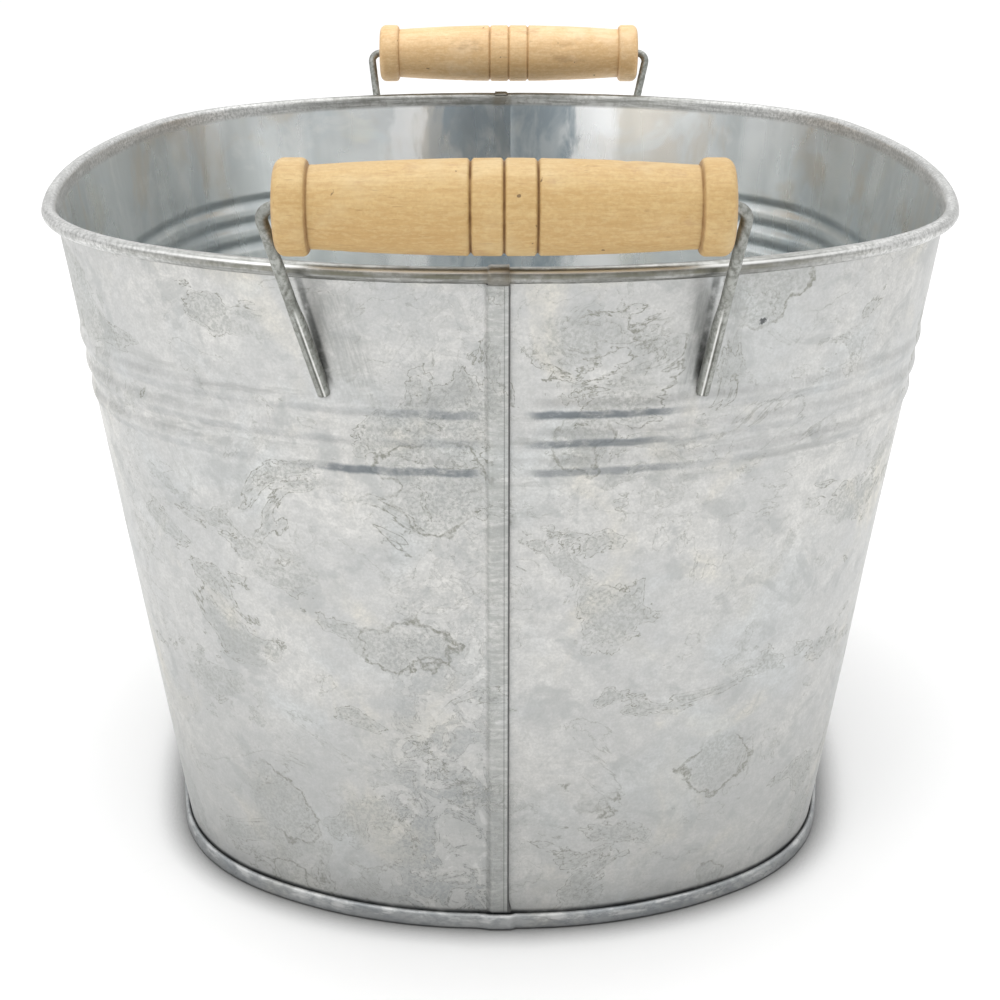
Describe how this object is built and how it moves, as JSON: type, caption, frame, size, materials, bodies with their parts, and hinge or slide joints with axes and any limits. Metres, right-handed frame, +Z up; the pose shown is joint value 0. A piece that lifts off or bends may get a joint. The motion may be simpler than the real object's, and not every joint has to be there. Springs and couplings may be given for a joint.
{
  "type": "galvanised tub",
  "caption": "Oval galvanised sheet-metal tub with tapered ribbed walls, rolled rim, hemmed base and a wood-grip bail handle welded to each end.",
  "frame": {"origin": "on the ground under the middle of the base, at the bottom of the hem", "axes": "+Z up, X across the tub, Y along its length; the front handle, the near one in the picture, is at -Y"},
  "size_m": [0.2554, 0.3398, 0.2095],
  "materials": {
    "tub_sheet": "hot-dip galvanised sheet, pale mottled zinc with stains",
    "pan_sheet": "galvanised sheet, slightly darker",
    "rim_steel": "plain drawn steel wire",
    "bail_steel": "zinc-plated wire with tool marks",
    "grip_wood": "turned pale wood, clear sealed"
  },
  "bodies": {
    "tub": {"wall_left": "tub_sheet", "wall_right": "tub_sheet", "rim_wire": "rim_steel", "base_pan": "pan_sheet", "bail_wire_front": "bail_steel", "bail_wire_rear": "bail_steel"},
    "front_grip": {"grip_front": "grip_wood"},
    "rear_grip": {"grip_rear": "grip_wood"}
  },
  "joints": [
    {"name": "grip_front_spin", "type": "hinge", "parent": "tub", "child": "front_grip", "pos_m": [0.0008, -0.1594, 0.1991], "axis": [1, 0, 0], "continuous": true},
    {"name": "grip_rear_spin", "type": "hinge", "parent": "tub", "child": "rear_grip", "pos_m": [0.0032, 0.1594, 0.1991], "axis": [1, 0, 0], "continuous": true}
  ]
}
